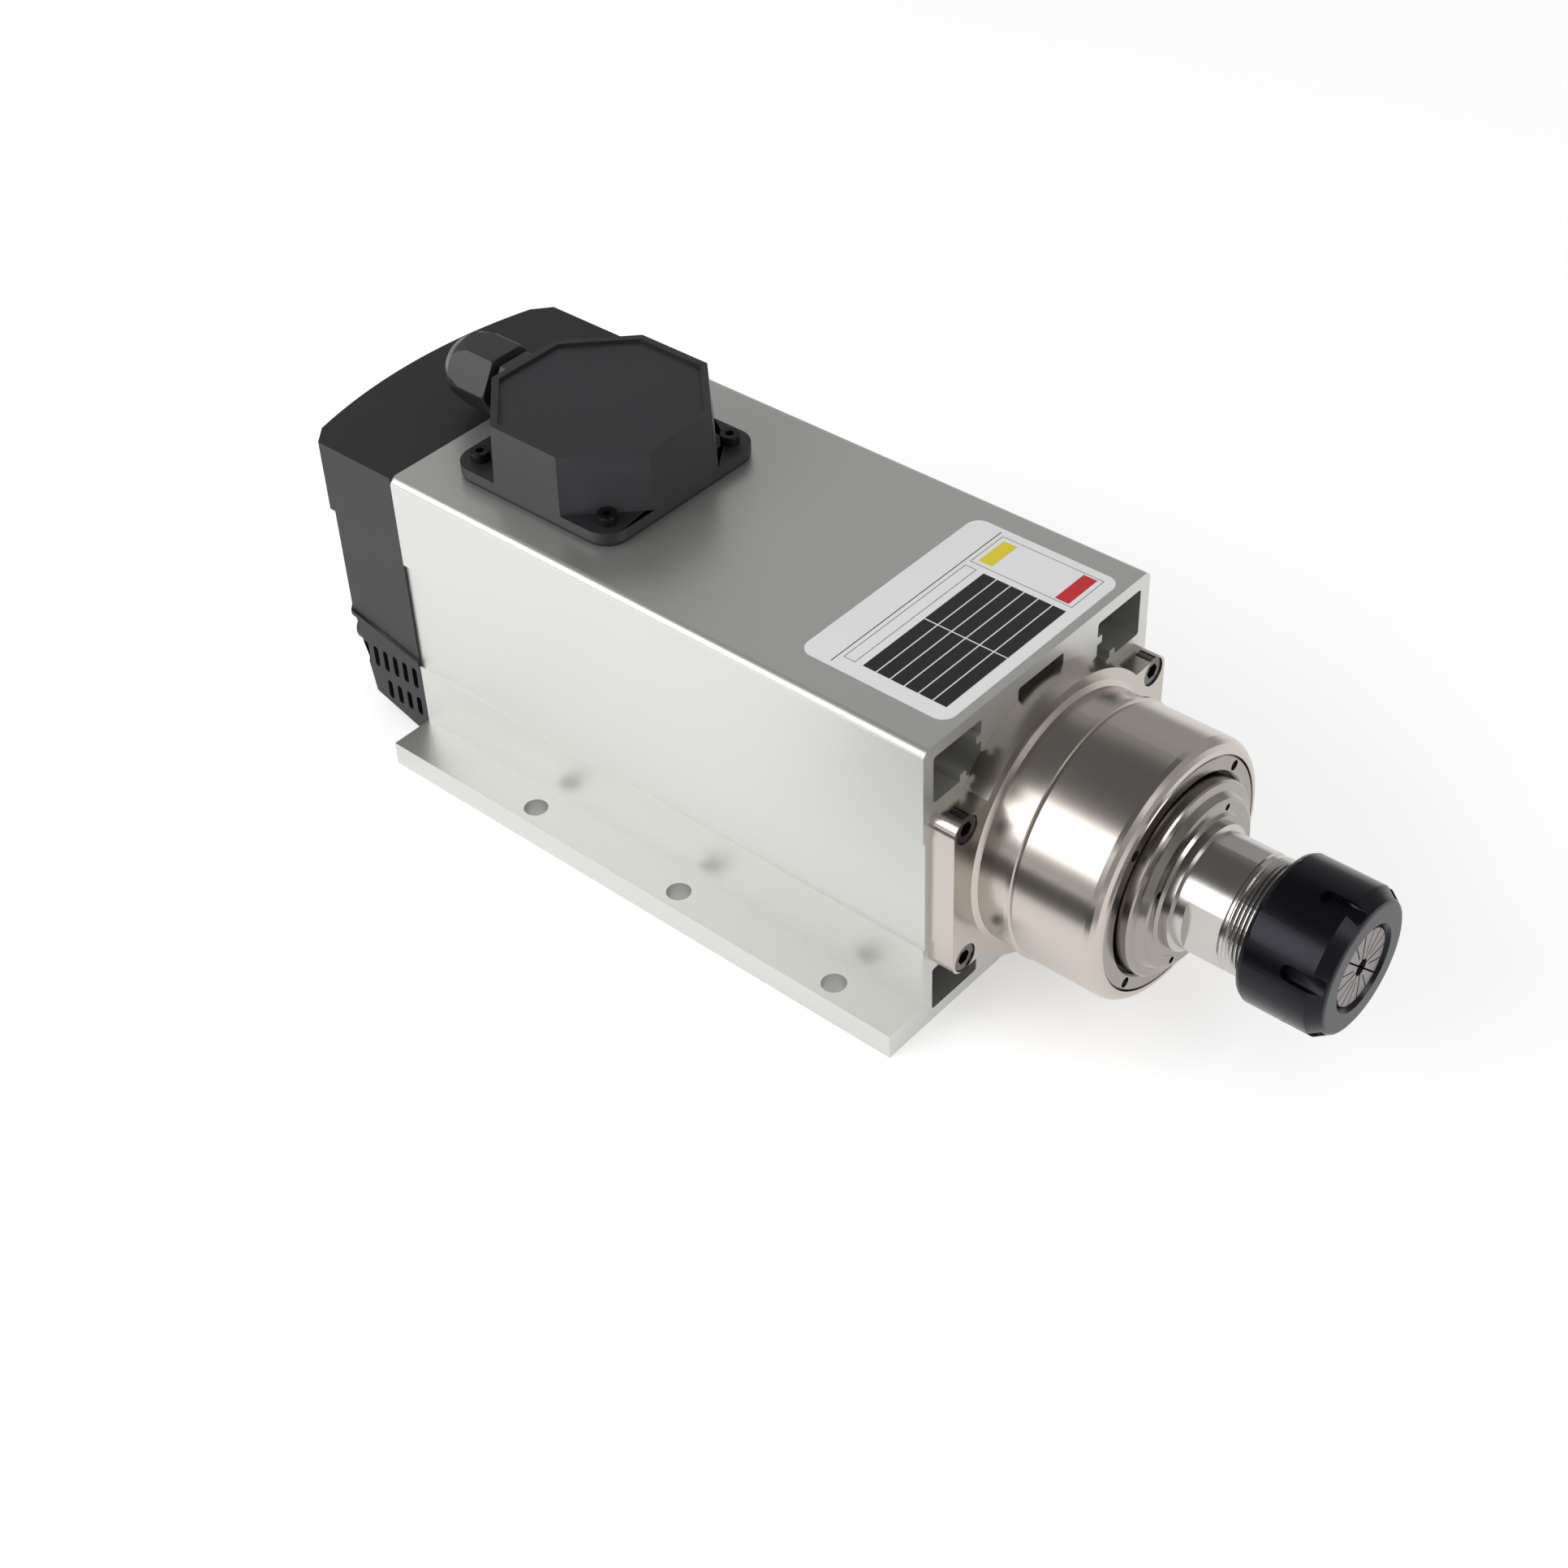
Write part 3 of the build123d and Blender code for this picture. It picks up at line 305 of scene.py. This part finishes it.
# Inside the body run the laminated stator, copper windings, rotor and the ground bearing
# races. They are closed in and only show where a cover is off.
laminations = finish("laminations", (0.30, 0.30, 0.32), metal=0.8, rough=0.42,
                     grain=(6000, 40, 40), depth=0.00002)
dress(laminations, "stator_core", "rotor_core")
copper = finish("copper", (0.62, 0.26, 0.10), metal=0.7, rough=0.35, grain=(900, 900, 900),
                depth=0.00003, mottle=0.15)
dress(copper, "stator_windings")
cast_rings = finish("cast_rings", (0.62, 0.62, 0.63), metal=0.9, rough=0.45,
                    grain=(800, 800, 800), depth=0.00003)
dress(cast_rings, "rotor_end_rings", "rear_end_shield")
dress(ground_steel, "front_outer_races", "front_inner_races", "front_ball_rings",
      "rear_outer_race", "rear_inner_race", "rear_ball_ring")


# The floor is plain and pale and keeps the object's soft shadow. The camera, reflections and
# rays through glass see it lifted to white.
def background_rays(tree):
    """The light path, and a node that is 1 for the camera's rays and those through glass."""
    rays = add_node(tree, "ShaderNodeLightPath")
    either = add_node(tree, "ShaderNodeMath")
    either.operation = "MAXIMUM"
    tree.links.new(rays.outputs["Is Camera Ray"], either.inputs[0])
    tree.links.new(rays.outputs["Is Transmission Ray"], either.inputs[1])
    return rays, either


floor_half, floor_lift, white = 6.0, 0.42, (1, 1, 1, 1)
floor_paint = bpy.data.materials.new("floor_paint")
floor_paint.use_nodes = True
tree = floor_paint.node_tree
matte = tree.nodes["Principled BSDF"]
matte.inputs["Base Color"].default_value = (0.86, 0.86, 0.86, 1)
matte.inputs["Roughness"].default_value = 0.9
matte.inputs["Emission Color"].default_value = white
rays, seen = background_rays(tree)
any_seen = add_node(tree, "ShaderNodeMath")
any_seen.operation = "MAXIMUM"
lift = add_node(tree, "ShaderNodeMath")
lift.operation = "MULTIPLY"
lift.inputs[1].default_value = floor_lift
tree.links.new(seen.outputs["Value"], any_seen.inputs[0])
tree.links.new(rays.outputs["Is Glossy Ray"], any_seen.inputs[1])
tree.links.new(any_seen.outputs["Value"], lift.inputs[0])
tree.links.new(lift.outputs["Value"], matte.inputs["Emission Strength"])
floor_form = bmesh.new()
bmesh.ops.create_grid(floor_form, x_segments=1, y_segments=1, size=floor_half)
floor = piece_from(floor_form, "floor", floor_paint)


# The room is white to the camera and gives an even fill. Metal mirrors it as a grey room with
# a dark ceiling, whose levels go from the horizon and below, at 0, to straight up, at 1.
room_levels = ((0.0, 0.28), (0.15, 0.40), (0.50, 0.46), (0.68, 0.40), (0.80, 0.12), (1.0, 0.14))
world = bpy.data.worlds.new("studio")
bpy.context.scene.world = world
world.use_nodes = True
tree = world.node_tree
tree.nodes.clear()
rays, seen = background_rays(tree)
fill = add_node(tree, "ShaderNodeBackground", Color=white, Strength=0.50)
backdrop = add_node(tree, "ShaderNodeBackground", Color=white, Strength=1.0)
room = add_node(tree, "ShaderNodeBackground")
direction = add_node(tree, "ShaderNodeTexCoord")
split = add_node(tree, "ShaderNodeSeparateXYZ")
height = add_node(tree, "ShaderNodeValToRGB")
while len(height.color_ramp.elements) < len(room_levels):
    height.color_ramp.elements.new(0.5)
for element, (at, level) in zip(height.color_ramp.elements, room_levels):
    element.position = at
    element.color = (level, level, level, 1)
gloss_mix = add_node(tree, "ShaderNodeMixShader")
seen_mix = add_node(tree, "ShaderNodeMixShader")
out = add_node(tree, "ShaderNodeOutputWorld")
tree.links.new(direction.outputs["Generated"], split.inputs["Vector"])
tree.links.new(split.outputs["Z"], height.inputs["Fac"])
tree.links.new(height.outputs["Color"], room.inputs["Color"])
tree.links.new(rays.outputs["Is Glossy Ray"], gloss_mix.inputs["Fac"])
tree.links.new(fill.outputs["Background"], gloss_mix.inputs[1])
tree.links.new(room.outputs["Background"], gloss_mix.inputs[2])
tree.links.new(seen.outputs["Value"], seen_mix.inputs["Fac"])
tree.links.new(gloss_mix.outputs["Shader"], seen_mix.inputs[1])
tree.links.new(backdrop.outputs["Background"], seen_mix.inputs[2])
tree.links.new(seen_mix.outputs["Shader"], out.inputs["Surface"])


# Soft boxes: a broad one on the near side draws the bright band along the round nose, and a
# small one picks out the front.
def soft_box(name, place, aim, size, power):
    """A rectangular area lamp turned to its aim, out of the camera's sight."""
    lamp = bpy.data.lights.new(name, "AREA")
    lamp.shape = "RECTANGLE"
    lamp.size, lamp.size_y = size
    lamp.energy = power
    holder = bpy.data.objects.new(name, lamp)
    bpy.context.scene.collection.objects.link(holder)
    holder.location = place
    towards = Vector(aim) - Vector(place)
    holder.rotation_euler = towards.to_track_quat("-Z", "Y").to_euler()
    holder.visible_camera = False


soft_box("near_box", place=(-0.484, -0.890, 0.66), aim=(0.12, 0.0, spindle_z),
         size=(1.3, 0.72), power=8.0)
soft_box("front_box", place=(1.5, 0.2, 0.9), aim=(0.1, 0.0, spindle_z),
         size=(0.6, 0.6), power=5.0)


# A dark card stands along the near side, out of the camera's sight. The round nose mirrors it
# as a dark band under the bright one.
card_x, card_y, card_z = (0.005, 0.27), -0.165, (0.003, 0.066)
card_size = (card_x[1] - card_x[0], card_z[1] - card_z[0], 1)
card_centre = (sum(card_x) / 2, card_y, sum(card_z) / 2)
upright = Matrix.Rotation(math.radians(90), 3, "X")
card_form = bmesh.new()
card_face = bmesh.ops.create_grid(card_form, x_segments=1, y_segments=1, size=0.5)["verts"]
bmesh.ops.scale(card_form, verts=card_face, vec=card_size)
bmesh.ops.rotate(card_form, verts=card_face, matrix=upright)
bmesh.ops.translate(card_form, verts=card_face, vec=card_centre)
card_black = finish("card_black", (0.03, 0.03, 0.03), metal=0.0, rough=0.8,
                    grain=(500, 500, 500), depth=0.00002)
card = piece_from(card_form, "dark_card", card_black)
card.visible_camera = card.visible_diffuse = card.visible_shadow = False


# The camera stands in front of the nose on the near side and looks down on it, rolled a
# little about its own axis.
azimuth, elevation, roll = map(math.radians, (42.68, 40.93, -2.62))
camera_place = (0.4572, -0.5090, 0.6062)
focal_pixels, picture_pixels, sensor = 3057.0, 1932.0, 36.0
back = Vector((math.sin(azimuth) * math.cos(elevation),
               -math.cos(azimuth) * math.cos(elevation), math.sin(elevation)))
right = (-back).cross(Vector((0, 0, 1))).normalized()
up = right.cross(-back)
rolled_right = math.cos(roll) * right + math.sin(roll) * up
rolled_up = math.cos(roll) * up - math.sin(roll) * right
facing = Matrix((rolled_right, rolled_up, back)).transposed().to_4x4()
lens = bpy.data.cameras.new("camera")
lens.sensor_width = sensor
lens.lens = focal_pixels * sensor / picture_pixels
camera = bpy.data.objects.new("camera", lens)
bpy.context.scene.collection.objects.link(camera)
camera.matrix_world = Matrix.Translation(camera_place) @ facing
bpy.context.scene.camera = camera
bpy.context.scene.view_settings.view_transform = "Standard"


bpy.context.view_layer.update()
